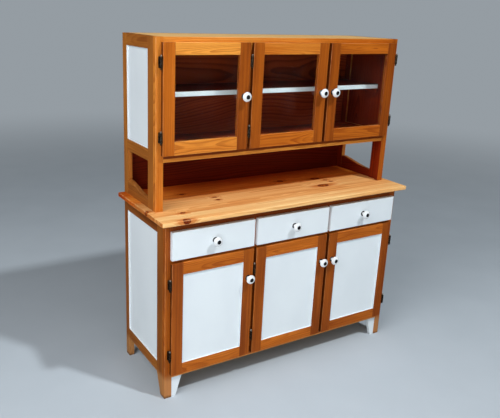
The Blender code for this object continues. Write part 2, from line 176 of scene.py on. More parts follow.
black, backdrop = (0, 0, 0), (0.3, 0.335, 0.365)
shape = bmesh.new()
bmesh.ops.create_grid(shape, x_segments=8, y_segments=8, size=120)
floor = piece_of("studio_floor", shape)
tree, surface = new_finish("studio_floor")
spot = own_place(tree)
laid = between(cloud(spot, (3, 3, 3), 3), (0.47, 0.51, 0.55), (0.53, 0.57, 0.61))
far = ramp(vectors("LENGTH", spot), 2.4, 8)
fill(surface, {"Base Color": between(far, laid, black), "Roughness": 0.8, "Specular IOR Level": 0,
               "Emission Color": between(times(far, in_view(tree)), black, backdrop),
               "Emission Strength": 1})
floor.data.materials.append(finishes["studio_floor"])
floor.visible_glossy = False
for name, place, aim, width, height, power, colour in (
        ("right_lamp", (1.62, -3.42, 6.05), 0.8, 0.35, 0.35, 257, (0.91, 0.98, 1.02)),
        ("low_lamp", (-1.9, -2.9, 0.55), 0.4, 2.4, 1, 30, (0.95, 0.985, 1)),
        ("high_lamp", (-1, -3.9, 3.4), 0.8, 3.6, 2.4, 17, (0.95, 0.985, 1)),
        ("side_lamp", (-3.8, -1.6, 3.7), 0.8, 3.2, 3.2, 175, (0.95, 0.985, 1.01))):
    lamp = linked(name, bpy.data.lights.new(name, "AREA"), shape="RECTANGLE", size=width, size_y=height,
                  energy=power, color=colour)
    lamp.location = place
    lamp.rotation_euler = (Vector(place) - Vector((0, -0.1, aim))).to_track_quat("Z", "Y").to_euler()
sky = bpy.data.worlds.new("studio_sky")
sky.use_nodes = True
bpy.context.scene.world = sky
tree = sky.node_tree
way = put(tree, "TexCoord").outputs["Generated"]
haze = ramp(cloud(way, (22, 22, 7), 3), 0.48, 0.8)
mirrored = between(haze, (0.01, 0.009, 0.009), (0.075, 0.066, 0.066))
glossy = put(tree, "LightPath").outputs["Is Glossy Ray"]
seen = between(glossy, (0.055, 0.06, 0.066), mirrored)
fill(tree.nodes["Background"], {"Color": between(in_view(tree), seen, backdrop)})


# The base's side frames: pine legs and rails, tenoned and glued round a white board. The front leg
# tapers below the bottom rail, the rear leg is straight, and a batten inside carries the shelf.
floor_z, worktop_under, worktop_top = 0, 0.8297, 0.85
front, rear = -0.193, 0.249
half_width = 0.65
frame_thickness = 0.022
hair = 0.0001
sunk_board = (0.637, 0.643)


def new_group(name, kind, *sockets):
    """An empty node group, and its inputs. Sockets are given as direction, kind and names."""
    tree = bpy.data.node_groups.new(name, kind)
    for direction, socket_kind, *labels in sockets:
        for label in labels:
            tree.interface.new_socket(label, in_out=direction, socket_type=f"NodeSocket{socket_kind}")
    return tree, tree.nodes.new("NodeGroupInput").outputs


def sway(place, stretch, detail, width):
    """A drift to all sides, as wide as the given width."""
    lumps = cloud(place, stretch, detail, out="Color")
    return vectors("SCALE", vectors("SUBTRACT", lumps, (0.5, 0.5, 0.5)), width)


def log_figure():
    """A shader group: the rings, fibres and tone of wood sawn from a log that lies along X."""
    tree, given = new_group("log_figure", "ShaderNodeTree", ("INPUT", "Vector", "Place"),
                            ("INPUT", "Float", "Ring Width", "Wander"),
                            ("OUTPUT", "Float", "Late Wood", "Fibre", "Drift"))
    place = given["Place"]
    bend = sway(place, (1.3, 3, 3), 1, times(given["Wander"], 6))
    moved = vectors("ADD", vectors("ADD", place, bend), sway(place, (9, 45, 45), 2, 0.004))
    radius = vectors("LENGTH", vectors("MULTIPLY", moved, (0, 1, 1)))
    turns = maths("DIVIDE", radius, given["Ring Width"])
    years = put(tree, "TexNoise", {"W": times(turns, 0.35), "Scale": 1}, noise_dimensions="1D").outputs[0]
    turns = maths("ADD", turns, times(years, 1.6))
    share = maths("FRACT", turns, 0)
    strength = put(tree, "TexWhiteNoise", {"W": maths("FLOOR", turns, 0)}, noise_dimensions="1D").outputs[0]
    late = times(ramp(share, 0.25, 0.88), ramp(share, 0.9, 1, 1, 0), ramp(strength, 0, 1, 0.55, 1))
    put(tree, "NodeGroupOutput", {"Late Wood": late, "Fibre": cloud(moved, (14, 900, 900), 2, 0.6),
                                  "Drift": cloud(place, (2.2, 16, 16))})
    return tree


figure = log_figure()


def carried(tree, name, key="Fac"):
    """A value that the mesh itself carries."""
    return put(tree, "Attribute", attribute_name=name).outputs[key]


def bumps(height, strength, distance):
    """The lie of a surface with the given relief."""
    values = {"Height": height, "Strength": strength, "Distance": distance}
    return put(height.id_data, "Bump", values).outputs[0]


def sawn(place, tones, late_share, ring_width, wander, streaks, spreads):
    """The colour, rings and fibres of wood at its place in the log. The colour follows the piece's tone,
    from 0 to 1, and drift, streaks and fibres spread it."""
    tree = place.id_data
    grown = put(tree, "Group", {"Place": place, "Ring Width": ring_width, "Wander": wander},
                node_tree=figure).outputs
    rings, fibre = grown["Late Wood"], grown["Fibre"]
    shade = carried(tree, "tone")
    for value, low, high, spread in zip((grown["Drift"], cloud(place, streaks, 3, 0.6), fibre),
                                        (0.25, 0.25, 0.2), (0.75, 0.75, 0.8), spreads):
        shade = maths("ADD", shade, ramp(value, low, high, -spread, spread))
    scale = put(tree, "ValToRGB", {0: shade})
    stops = scale.color_ramp.elements
    stops[0].color, stops[1].color = (*tones[0], 1), (*tones[2], 1)
    stops.new(0.5).color = (*tones[1], 1)
    late = vectors("MULTIPLY", scale.outputs[0], late_share)
    return between(times(rings, 0.8), scale.outputs[0], late), rings, fibre


def rubbed(colour, place, rub_from, least, share, wear_and_highlight_to):
    """The colour of wood whose rounded edges are rubbed paler in patches, partly wear and partly a painted
    highlight.
    """
    rub = ramp(cloud(place, (25, 60, 60), 3), rub_from, 0.62, least, 1)
    # Painted highlight, partly wear: the rounded edges are mixed towards a paler colour.
    return between(times(carried(place.id_data, "worn"), rub, share), colour, wear_and_highlight_to)


def varnish(surface, colour, fibre, relief, roughness, coat, specular):
    """Lays varnish over wood: fibres make it uneven, and the relief of the rings shows through."""
    fill(surface, {"Base Color": colour, "Coat Weight": coat, "Coat Roughness": 0.25,
                   "Roughness": ramp(fibre, 0.2, 0.8, roughness - 0.06, roughness + 0.08),
                   "Specular IOR Level": specular, "Normal": bumps(relief, 0.22, 0.0006)})


def wood(name, tones, late_share, wear_and_highlight_to, ring_width=0.0042, wander=0.016, roughness=0.42, coat=0.12,
         specular=0.2, foot_darkening=0):
    """Sawn and varnished wood. Near the floor it is paler, partly wear and partly painted light bounced up
    from the floor, and it is darker at the very bottom.
    """
    tree, surface = new_finish(name)
    place = carried(tree, "grain", "Vector")
    colour, rings, fibre = sawn(place, tones, late_share, ring_width, wander, (1.6, 130, 130),
                                (0.12, 0.1, 0.07))
    colour = rubbed(colour, place, 0.4, 0.25, 0.2, wear_and_highlight_to)
    if foot_darkening:
        spot = own_place(tree)
        height = put(tree, "SeparateXYZ", {0: spot}).outputs[2]
        # Painted light, partly wear: below about 12 cm the wood is mixed towards a paler colour, as if lit
        # from the floor.
        colour = between(ramp(height, 0.085, 0.125, 0.42, 0), colour, (0.66, 0.34, 0.13))
        # Darker towards the very bottom, below about 2.6 cm.
        uneven = maths("ADD", height, times(cloud(spot, (40, 40, 40), 3), 0.02))
        colour = between(ramp(uneven, 0.01, 0.026, foot_darkening, 0), colour, (0.06, 0.03, 0.015))
    relief = maths("ADD", times(rings, 0.5), fibre)
    varnish(surface, colour, fibre, relief, roughness, coat, specular)


def paint(name, colour, shade, chip_to, roughness):
    """White paint brushed on board: faint brush lines along the grain, and rubbed edges."""
    tree, surface = new_finish(name)
    place = carried(tree, "grain", "Vector")
    brush = cloud(place, (9, 420, 420), 3, 0.55)
    laid = between(ramp(cloud(place, (3, 5, 5), 3), 0.3, 0.75), colour, shade)
    rub = ramp(cloud(place, (60, 90, 90), 4, 0.6), 0.52, 0.66)
    fill(surface, {"Base Color": between(times(carried(tree, "worn"), rub, 0.55), laid, chip_to),
                   "Roughness": ramp(brush, 0.25, 0.75, roughness - 0.05, roughness + 0.08),
                   "Coat Weight": 0.1, "Coat Roughness": 0.3, "Normal": bumps(brush, 0.25, 0.0003)})


wood("pine", ((0.24, 0.047, 0.003), (0.56, 0.142, 0.009), (0.9, 0.36, 0.055)), (0.58, 0.4, 0.26),
     (0.86, 0.42, 0.14), foot_darkening=0.7)
# Painted light: a paler, rougher copy of the pine for upward faces, standing in for light from above and
# sheen on the tops.
wood("pale_pine", ((0.56, 0.29, 0.085), (0.72, 0.42, 0.155), (0.84, 0.55, 0.24)),
     (0.8, 0.66, 0.5), (0.88, 0.6, 0.28), roughness=0.6, coat=0, specular=0.1)
# Painted sheen: a paler, greyer copy of the pine for the side frames, standing in for the softer light and
# sheen on the sides.
wood("side_pine", ((0.2, 0.05, 0.009), (0.46, 0.158, 0.024), (0.75, 0.33, 0.07)),
     (0.66, 0.5, 0.38), (0.74, 0.36, 0.12), foot_darkening=0.7)
# Painted shade: a dark copy of the pine for each door's left edge, the shadow in the gap beside the face
# frame.
wood("edge_pine", ((0.1, 0.02, 0.002), (0.17, 0.038, 0.004), (0.26, 0.065, 0.009)),
     (0.6, 0.5, 0.4), (0.24, 0.07, 0.02), coat=0.05, specular=0.1)
# Dark stain for the inside of the dresser, darkened further as painted shade, where little light reaches.
wood("dark_pine", ((0.13, 0.01, 0.002), (0.24, 0.022, 0.003), (0.36, 0.05, 0.008)),
     (0.42, 0.34, 0.3), (0.24, 0.03, 0.006), ring_width=0.012, wander=0.034, coat=0.03, specular=0.1)
wood("raw_pine", ((0.48, 0.3, 0.15), (0.64, 0.44, 0.24), (0.74, 0.55, 0.33)),
     (0.72, 0.6, 0.48), (0.76, 0.6, 0.4), roughness=0.62, coat=0)
paint("white_paint", (0.8, 0.84, 0.86), (0.76, 0.8, 0.825), (0.62, 0.56, 0.46), 0.42)


def eased(corners):
    """An outline with rounded corners. Each corner is (first, second, radius)."""
    outline = []
    for before, corner, after in zip(corners[-1:] + corners[:-1], corners, corners[1:] + corners[:1]):
        tip = Vector(corner[:2])
        if corner[2] == 0:
            outline.append(tuple(tip))
            continue
        back = (Vector(before[:2]) - tip).normalized()
        ahead = (Vector(after[:2]) - tip).normalized()
        length = corner[2] / tan(back.angle(ahead) / 2)
        for t in (0, 1 / 3, 2 / 3, 1):
            outline.append(tuple(tip + back * length * (1 - t) ** 2 + ahead * length * t**2))
    return outline


def section(a, b, soft=(), round_soft=0.002, crisp=0.0005):
    """The corners of a plain section. Those named in soft, such as (-1, 1), get the larger round."""
    return [(a[side_a > 0], b[side_b > 0], round_soft if (side_a, side_b) in soft else crisp)
            for side_a, side_b in ((-1, -1), (1, -1), (1, 1), (-1, 1))]


def prism(name, corners, axis, span, end_round):
    """A piece of one section, whose ends are eased a little."""
    shape = bmesh.new()
    spot = "xyz".index(axis)
    outline = eased(corners)
    near, far = ([shape.verts.new((*point[:spot], along, *point[spot:])) for point in outline]
                 for along in span)
    rim = {edge for ring in (near, far) for edge in shape.faces.new(ring).edges}
    for index in range(len(outline)):
        shape.faces.new((near[index - 1], near[index], far[index], far[index - 1]))
    bmesh.ops.recalc_face_normals(shape, faces=shape.faces)
    bmesh.ops.bevel(shape, geom=list(rim), offset=end_round, segments=2, profile=0.5, affect="EDGES",
                    clamp_overlap=True)
    return piece_of(name, shape)


def mark_grain(piece, run, cut="rift", tone=0.3, narrow=0.0032):
    """Writes each corner's place in the log, its tone, and which faces are rounded edges, which take edge
    wear and a painted highlight. The heart is under a flat cut board and beside a rift cut one. Two tones
    are those of the two ends."""
    mesh = piece.data
    spot = "xyz".index(run)
    others = [axis for axis in range(3) if axis != spot]
    low, high = ([end(vertex.co[axis] for vertex in mesh.vertices) for axis in range(3)]
                 for end in (min, max))
    start = random.Random(piece.name).uniform(2, 60)
    chance = random.Random(piece.name + cut)
    wide, thin = sorted(others, key=lambda axis: low[axis] - high[axis])
    width = high[wide] - low[wide]
    side = chance.choice((-1, 1))
    if cut == "flat":
        heart = {wide: chance.uniform(-0.25, 0.25) * width, thin: side * chance.uniform(0.028, 0.05)}
    else:
        heart = {wide: side * (width / 2 + chance.uniform(0.05, 0.11)), thin: chance.uniform(-0.02, 0.02)}
    first, last = tone if isinstance(tone, tuple) else (tone, tone)
    places, tones, worn = [], [], []
    for loop in mesh.loops:
        point = mesh.vertices[loop.vertex_index].co
        places.append(point[spot] + start)
        places += [point[axis] - (low[axis] + high[axis]) / 2 + heart[axis] for axis in others]
        tones.append(first + (last - first) * (point[spot] - low[spot]) / (high[spot] - low[spot]))
    mesh.set_sharp_from_angle(angle=radians(40))
    for face in mesh.polygons:
        shortest = min((mesh.vertices[one].co - mesh.vertices[two].co).length for one, two in face.edge_keys)
        slanted = max(abs(part) for part in face.normal) < 0.9999
        face.use_smooth = slanted and shortest < narrow
        worn.append(float(face.use_smooth))
    for name, kind, domain, key, values in (("grain", "FLOAT_VECTOR", "CORNER", "vector", places),
                                            ("worn", "FLOAT", "FACE", "value", worn),
                                            ("tone", "FLOAT", "CORNER", "value", tones)):
        mesh.attributes.new(name, kind, domain).data.foreach_set(key, values)


def toward(face, direction):
    """How squarely a face looks in a direction such as +x."""
    return face.normal["xyz".index(direction[1])] * (-1 if direction[0] == "-" else 1)


def cut_across(shape, axis, place):
    """Splits a shape's faces where a plane across the axis meets them."""
    normal = Vector([float(other == axis) for other in range(3)])
    bmesh.ops.bisect_plane(shape, geom=shape.verts[:] + shape.edges[:] + shape.faces[:],
                           plane_co=normal * place, plane_no=normal, dist=1e-5)


def tie(piece, node):
    """Ties a piece to the body of the solid that it stands for, and hides that solid."""
    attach(piece, frame["nodes"][node]["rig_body"])
    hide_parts(node)


def settle(piece, node, slot, skins=None):
    """Gives the piece its finish and its place in the dresser. Skins finish the sides they name, dark ones
    also the rounded edges."""
    mesh = piece.data
    mesh.materials.append(finishes[slot])
    for direction, other in (skins or {}).items():
        mesh.materials.append(finishes[other])
        reach = 0.3 if other == "dark_pine" else 0.999
        for face in mesh.polygons:
            if toward(face, direction) > reach:
                face.material_index = len(mesh.materials) - 1
    tie(piece, node)


def paint_edge(piece, direction, side, low=0, high=2):
    """Paints the edge round a sunk board: the side that faces the board, from the board's face out."""
    mesh = piece.data
    shape = bmesh.new()
    shape.from_mesh(mesh)
    for axis, place in ((0, side * sunk_board[1]), (2, low), (2, high)):
        cut_across(shape, axis, place)
    mesh.materials.append(finishes["white_paint"])
    for face in shape.faces:
        centre = face.calc_center_median()
        if toward(face, direction) > 0.999 and low < centre.z < high and centre.x * side > sunk_board[1]:
            face.material_index = len(mesh.materials) - 1
    shape.to_mesh(mesh)
    shape.free()


def shaped_board(name, node, corners, axis, span, run, slot="pine", cut="rift", tone=0.3, skins=None,
                 end_round=0.0005, narrow=0.0032, edge=None):
    """A board sawn to an outline. Its faces lie across the axis, and its grain runs along another."""
    piece = prism(name, corners, axis, span, end_round)
    mark_grain(piece, run, cut, tone, narrow)
    settle(piece, node, slot, skins)
    if edge:
        paint_edge(piece, *edge)
    return piece


def board(name, node, x, y, z, run, soft=(), round_soft=0.002, crisp=0.0005, **more):
    """A straight board whose grain runs along one axis."""
    pairs = {"x": x, "y": y, "z": z}
    low, high = pairs.pop(run)
    return shaped_board(name, node, section(*pairs.values(), soft, round_soft, crisp), run,
                        (low + hair, high - hair), run, **more)


def pair(side, near, far, middle=0):
    """An x pair on one side of the middle."""
    return tuple(sorted((middle + side * near, middle + side * far)))


sides = (("left", -1), ("right", 1))
base_inner, batten = 0.625, 0.015
front_post_end, rear_post_start = front + 0.079, rear - 0.038
rail_under, side_rail_top, side_top_rail = 0.1, 0.153, 0.77
leg_front, crisp = front + frame_thickness + 0.0002, 0.0006
shelf_front = rear - 0.32
rail_y, opening = (front_post_end, rear_post_start), (side_rail_top, side_top_rail)
front_leg = [(leg_front, floor_z, crisp), (front + 0.04, floor_z, 0.002),
             (front_post_end, rail_under, 0.004), (front_post_end, worktop_under, crisp),
             (leg_front, worktop_under, crisp)]
rear_leg = [(rear_post_start, floor_z, 0.001), (rear, floor_z, 0.001), (rear, worktop_under, 0.001),
            (rear_post_start, worktop_under, crisp)]
# Painted sheen: the base's side frames are cut from the greyer side pine.
for label, side in sides:
    name, node = f"base_{label}", f"base_{label}_side_frame"
    x = pair(side, base_inner, half_width)
    for part, leg, end_round, tone, inward in (("front", front_leg, 0.0008, 0.2, "+y"),
                                               ("rear", rear_leg, 0.0012, 0.24, "-y")):
        shaped_board(f"{name}_{part}_leg", node, leg, "x", x, "z", slot="side_pine", end_round=end_round,
                     tone=tone, edge=(inward, side, *opening))
    board(f"{name}_side_top_rail", node, x, rail_y, (side_top_rail, worktop_under), "y", slot="side_pine",
          tone=0.1, edge=("-z", side))
    board(f"{name}_side_bottom_rail", node, x, rail_y, (rail_under, side_rail_top), "y", slot="side_pine",
          cut="flat", soft=((-1, -1), (1, -1)), round_soft=0.0015, tone=0.25, edge=("+z", side))
    board(f"{name}_shelf_batten", node, pair(side, base_inner - batten, base_inner), (shelf_front, 0.23),
          (0.3497, 0.3717), "y", slot="raw_pine")
    board(f"{name}_side_board", f"{name}_side_panel", pair(side, *sunk_board), rail_y, opening, "z",
          slot="white_paint", crisp=0.0003)


# The base's face frame: two stiles that run down to the floor as the front of the legs, three rails
# and four muntins of pine, glued flush. White tapered blocks fill the corners under the bottom rail.
def shade_below(piece, height, below, above):
    """Gives a rail a light lower strip, painted light, and a dark one above it, painted shadow under the
    doors.
    """
    shape = bmesh.new()
    shape.from_mesh(piece.data)
    cut_across(shape, 2, height)
    tones = shape.loops.layers.float["tone"]
    for face in shape.faces:
        for corner in face.loops:
            corner[tones] = below if face.calc_center_median().z < height else above
    shape.to_mesh(piece.data)
    shape.free()


stile_inner = half_width - 0.035
column_pitch = (1.252 + 0.016) / 3
muntins = column_pitch / 2 - 0.02, column_pitch / 2 + 0.02
drawer_gap, door_gap = (0.682, 0.775), (0.15, 0.642)
columns = ("left", "middle", "right")
node = "base_face_frame"
frame_y = (front, front + frame_thickness)
block_top = rail_under - 0.0003
for label, side in sides:
    board(f"base_{label}_stile", node, pair(side, stile_inner, half_width), frame_y,
          (floor_z, worktop_under), "z", soft=((side, -1),), round_soft=0.003, end_round=0.0015, tone=0.22)
    post = side * (stile_inner - 0.0003)
    block = [(post, floor_z, 0.001), (post, block_top, 0.0005), (post - side * 0.05, block_top, 0.001),
             (post - side * 0.021, floor_z, 0.001)]
    shaped_board(f"{label}_corner_block", f"{label}_foot_bracket", block, "y",
                 (front + 0.0015, front + 0.0205), "z", slot="white_paint", end_round=0.001)
for name, low, high in (("top", drawer_gap[1], worktop_under), ("middle", door_gap[1], drawer_gap[0]),
                        ("bottom", rail_under, door_gap[0])):
    piece = board(f"base_{name}_rail", node, (-stile_inner, stile_inner), frame_y, (low, high), "x",
                  tone=0 if name == "top" else 0.2, soft=((-1, -1),) if name == "bottom" else ())
# Painted shadow under the lower doors, and painted light on the rail's lowest 8 mm.
shade_below(piece, rail_under + 0.008, 0.75, -0.3)
for label, side in sides:
    for name, z in (("drawer", drawer_gap), ("door", door_gap)):
        board(f"base_{label}_{name}_muntin", node, pair(side, *muntins), frame_y, z, "z")


# Inside the base: plain pine boards. The bottom is let into the sides, the half-depth shelf lies on
# its battens, the runner frame carries the drawers, and a dark sheet closes the back.
def planks(name, node, x, y, z, count, slot="raw_pine", skins=None, tone=0.4):
    """A wide board glued up from planks that run along X."""
    step = (y[1] - y[0]) / count
    for number in range(count):
        part = (y[0] + number * step, y[0] + (number + 1) * step)
        shift = random.Random(name + str(number)).uniform(-0.12, 0.12)
        board(f"{name}_plank_{number + 1}", node, x, part, z, "x", slot=slot, cut="flat", tone=tone + shift,
              skins=skins, crisp=0.0003)


base_x, inside_x = (-0.631, 0.631), (-0.6247, 0.6247)
joint, inside_rear = 0.0003, 0.2407
board_y = (front + frame_thickness + joint, inside_rear)
sheet_y = (0.241, 0.2485)
planks("base_bottom", "base_bottom_board", base_x, board_y, (0.127, 0.145), 4)
planks("base_shelf", "base_shelf", inside_x, (shelf_front, inside_rear), (0.372, 0.39), 3)
node = "drawer_runner_frame"
runner_z, guide_z, runner_width = (0.664, 0.682), (0.6821, 0.72), 0.06
cross_y = (board_y[0] + runner_width, board_y[1] - runner_width)
board("runner_front_rail", node, base_x, (board_y[0], cross_y[0]), runner_z, "x", slot="raw_pine")
board("runner_rear_rail", node, base_x, (cross_y[1], board_y[1]), runner_z, "x", slot="raw_pine")
for label, side in sides:
    middle = column_pitch / 2
    for name, near, far, y, z in (("middle_runner", middle - 0.03, middle + 0.03, cross_y, runner_z),
                                  ("middle_guide", middle - 0.018, middle + 0.018, board_y, guide_z),
                                  ("side_runner", 0.604, base_x[1], cross_y, runner_z),
                                  ("side_guide", 0.6167, inside_x[1], board_y, guide_z)):
        board(f"{label}_{name}", node, pair(side, near, far), y, z, "y", slot="raw_pine")
board("base_back_sheet", "base_back_panel", inside_x, sheet_y, (rail_under, worktop_under), "x",
      slot="dark_pine", cut="flat", skins={"+y": "raw_pine"})


# The worktop: honey-coloured pine staves glued edge to edge, with rounded edges and red-brown knots.
# It overhangs the base at the front and at both ends.
def knot_figure():
    """A shader group: one knot. Core, Heart and Rim are masks, and Push bends the rings round it."""
    tree, given = new_group("knot_figure", "ShaderNodeTree", ("INPUT", "Vector", "Place", "Centre", "Size"),
                            ("OUTPUT", "Float", "Core", "Heart", "Rim", "Push"))
    place = given["Place"]
    away = vectors("ADD", vectors("SUBTRACT", place, given["Centre"]),
                   sway(place, (110, 110, 110), 2, 0.007))
    away = vectors("DIVIDE", away, given["Size"])
    reach = vectors("LENGTH", away)
    drawn = vectors("LENGTH", vectors("MULTIPLY", away, (0.5, 1, 1)))
    put(tree, "NodeGroupOutput", {"Core": ramp(reach, 0.8, 1.05, 1, 0),
                                  "Heart": ramp(reach, 0.3, 0.8, 1, 0),
                                  "Rim": ramp(drawn, 0.6, 1.7, 1, 0), "Push": ramp(reach, 0.5, 4, 1, 0)})
    return tree


knots = [((x, y, 0.85), (length, width, 0.03)) for x, y, length, width in (
    (-0.43, 0.097, 0.012, 0.01), (-0.311, -0.004, 0.012, 0.009), (-0.315, -0.043, 0.01, 0.011),
    (-0.546, -0.144, 0.013, 0.01), (0.132, 0.1, 0.018, 0.015), (0.332, 0.068, 0.03, 0.018),
    (0.289, -0.052, 0.035, 0.021), (0.378, -0.006, 0.01, 0.009), (0.366, 0.024, 0.012, 0.01))]
knots += [((-0.571, -0.232, 0.846), (0.019, 0.018, 0.016)), ((-0.681, -0.07, 0.845), (0.014, 0.014, 0.014))]


def knotty_wood(name, tones, late_share, rim_colour, knot_colour, heart_colour, wear_and_highlight_to):
    """The worktop's finish: log figure that bends round the knots named above, and turns redder and darker
    to the rear, painted shade where the hutch shades the worktop.
    """
    tree, surface = new_finish(name)
    spot = own_place(tree)
    one_knot = knot_figure()
    marks = [put(tree, "Group", {"Place": spot, "Centre": centre, "Size": size},
                 node_tree=one_knot).outputs for centre, size in knots]
    core, heart, rim, push = (maths("MAXIMUM", *(mark[key] for mark in marks))
                              for key in ("Core", "Heart", "Rim", "Push"))
    bulge = times(push, 0.012)
    shove = put(tree, "CombineXYZ", {1: bulge, 2: bulge}).outputs[0]
    place = vectors("ADD", carried(tree, "grain", "Vector"), shove)
    colour, rings, fibre = sawn(place, tones, late_share, 0.0055, 0.012, (1.1, 60, 60), (0.14, 0.22, 0.08))
    # Painted shade: towards the rear the colour turns redder and darker, where the hutch shades the worktop.
    depth = put(tree, "SeparateXYZ", {0: spot}).outputs[1]
    for start, end, share in ((0.02, 0.075, (1, 0.58, 0.2)), (0.09, 0.235, (0.66, 0.42, 0.3))):
        colour = between(ramp(depth, start, end), colour, vectors("MULTIPLY", colour, share))
    colour = between(times(rim, 0.75), colour, rim_colour)
    colour = between(core, colour, knot_colour)
    patch = ramp(cloud(spot, (150, 150, 150)), 0.42, 0.58)
    colour = between(times(heart, patch), colour, heart_colour)
    colour = rubbed(colour, place, 0.42, 0, 0.3, wear_and_highlight_to)
    relief = maths("SUBTRACT", maths("ADD", times(rings, 0.5), fibre), core)
    varnish(surface, colour, fibre, relief, 0.52, 0.04, 0.12)


knotty_wood("honey_pine", ((0.55, 0.17, 0.03), (0.86, 0.41, 0.13), (0.95, 0.62, 0.27)),
            (0.8, 0.62, 0.46), (0.52, 0.11, 0.008), (0.15, 0.012, 0.001), (0.46, 0.1, 0.008),
            (0.88, 0.58, 0.28))


def extent(node):
    """A solid's spans along the three axes."""
    return tuple(zip(*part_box(node)))


worktop_spans = extent("worktop")
shape = bmesh.new()
bmesh.ops.create_cube(shape, size=1)
for vertex in shape.verts:
    for axis, (low, high) in enumerate(worktop_spans):
        vertex.co[axis] = (low + high) / 2 + vertex.co[axis] * (high - low)
bmesh.ops.bevel(shape, geom=shape.edges[:], offset=0.004, segments=4, profile=0.5, affect="EDGES")
stave_tones = (0.77, 0.45, 0.6, 0.5, 0.68, 0.68)
low, high = worktop_spans[1]
stave_width = (high - low) / len(stave_tones)
for number in range(1, len(stave_tones)):
    cut_across(shape, 1, low + number * stave_width)
worktop = piece_of("worktop_staves", shape)
chance = random.Random(7)
staves = [(chance.uniform(2, 60), chance.uniform(-0.03, 0.03),
           chance.choice((-1, 1)) * chance.uniform(0.03, 0.07), tone) for tone in stave_tones]
mark_grain(worktop, "x")
mesh = worktop.data
values = []
tones = []
for face in mesh.polygons:
    number = min(len(staves) - 1, max(0, int((face.center.y - low) / stave_width)))
    start, across, deep, tone = staves[number]
    middle = low + (number + 0.5) * stave_width
    for corner in face.loop_indices:
        tones.append(tone - 0.6 if abs(face.normal.x) > 0.7 else tone)
        point = mesh.vertices[mesh.loops[corner].vertex_index].co
        values += [point.x + start, point.y - middle + across, point.z - 0.84 + deep]
mesh.attributes["grain"].data.foreach_set("vector", values)
mesh.attributes["tone"].data.foreach_set("value", tones)
settle(worktop, "worktop", "honey_pine")


# The hutch's sides: pine posts and rails round a white board, and below it an open window whose lower board
# is sawn to a long S. Their inner faces carry the dark stain of the hutch's inside, partly a real stain and
# partly painted shade.
hutch_front = front + 0.098
hutch_inner = 0.628
hutch_foot, hutch_top = 0.8503, 1.566
post_end, post_start = hutch_front + 0.076, rear - 0.045
window_top, board_foot, board_head = 1.0575, 1.1095, 1.516
shelf_front = hutch_front + 0.082
run = post_start - post_end
handles = ((post_start, 0.067), (post_start - 0.1 * run, 0.08), (post_start - 0.55 * run, 0.0395),
           (post_end, 0.0395))
curve = [(post_end + hair, hutch_foot, 0), (post_start - hair, hutch_foot, 0)]
for step in range(41):
    t = step / 40
    weights = ((1 - t) ** 3, 3 * t * (1 - t) ** 2, 3 * t * t * (1 - t), t**3)
    y, rise = (sum(weight * handle[axis] for weight, handle in zip(weights, handles)) for axis in (0, 1))
    curve.append((min(max(y, post_end + hair), post_start - hair), worktop_top + rise, 0))
rail_y, opening = (post_end, post_start), (board_foot, board_head)
for label, side in sides:
    # Painted sheen: the hutch's side frames are cut from the greyer side pine.
    name, node = f"hutch_{label}", f"hutch_{label}_side_frame"
    x = pair(side, hutch_inner, half_width)
    # Painted shade: the inner faces take the dark stain, darkened as shade inside the hutch.
    inside = {"slot": "side_pine", "skins": {"+x" if side < 0 else "-x": "dark_pine"}}
    for part, y, soft, tone, inward in (
            ("front", (hutch_front + frame_thickness + 0.0002, post_end), (), 0.33, "+y"),
            ("rear", (post_start, rear), ((side, 1),), 0.42, "-y")):
        board(f"{name}_{part}_post", node, x, y, (hutch_foot, hutch_top), "z", tone=tone, soft=soft,
              edge=(inward, side, *opening), **inside)
    for rail, z, inward, tone in (("top", (board_head, hutch_top), "-z", 0.28),
                                  ("middle", (window_top, board_foot), "+z", 0.33)):
        board(f"{name}_side_{rail}_rail", node, x, rail_y, z, "y", cut="flat", tone=tone,
              edge=(inward, side), **inside)
    shaped_board(f"{name}_curved_board", node, curve, "x", x, "y", cut="flat", end_round=0.0025,
                 narrow=0.012, tone=0.3, **inside)
    board(f"{name}_shelf_batten", node, pair(side, hutch_inner - batten, hutch_inner),
          (shelf_front, 0.2404), (1.2957, 1.3177), "y", slot="dark_pine")
    board(f"{name}_side_board", f"{name}_side_panel", pair(side, *sunk_board), rail_y, opening, "z",
          slot="white_paint", crisp=0.0003, skins=inside["skins"], cut="flat")


# The hutch's face frame: stiles, two rails and two muntins of pine, glued flush and proud of the sides. The
# top rail is painted lighter at its left end and the left stile lighter than the right, partly the boards'
# own tone and partly painted light that fades to the right. The rail's upper face is painted pale, a painted
# highlight from above.
node = "hutch_face_frame"
frame_y = (hutch_front, hutch_front + frame_thickness)
bottom_rail_z = (1.0615, 1.1115)
for label, side in sides:
    # Painted light: the left stile is given a lighter tone than the right.
    board(f"hutch_{label}_stile", node, pair(side, stile_inner, half_width), frame_y,
          (hutch_foot, hutch_top), "z", soft=((side, -1),), round_soft=0.004,
          skins={"+x" if side < 0 else "-x": "dark_pine"}, tone=0.6 if side < 0 else 0.3)
    board(f"hutch_{label}_muntin", node, pair(side, *muntins), frame_y, (bottom_rail_z[1], board_head), "z")
piece = board("hutch_bottom_rail", node, (-stile_inner, stile_inner), frame_y, bottom_rail_z, "x",
              soft=((-1, -1),), cut="flat")
# Painted shadow under the upper doors, and painted light on the rail's lowest 15 mm.
shade_below(piece, bottom_rail_z[0] + 0.015, 0.85, -0.2)
# Painted light: the top rail fades from a light left end to a darker right end, and its upper face is
# painted pale.
board("hutch_top_rail", node, (-stile_inner, stile_inner), frame_y, (board_head, hutch_top), "x",
      soft=((-1, 1),), tone=(0.85, 0.42), skins={"+z": "pale_pine"})


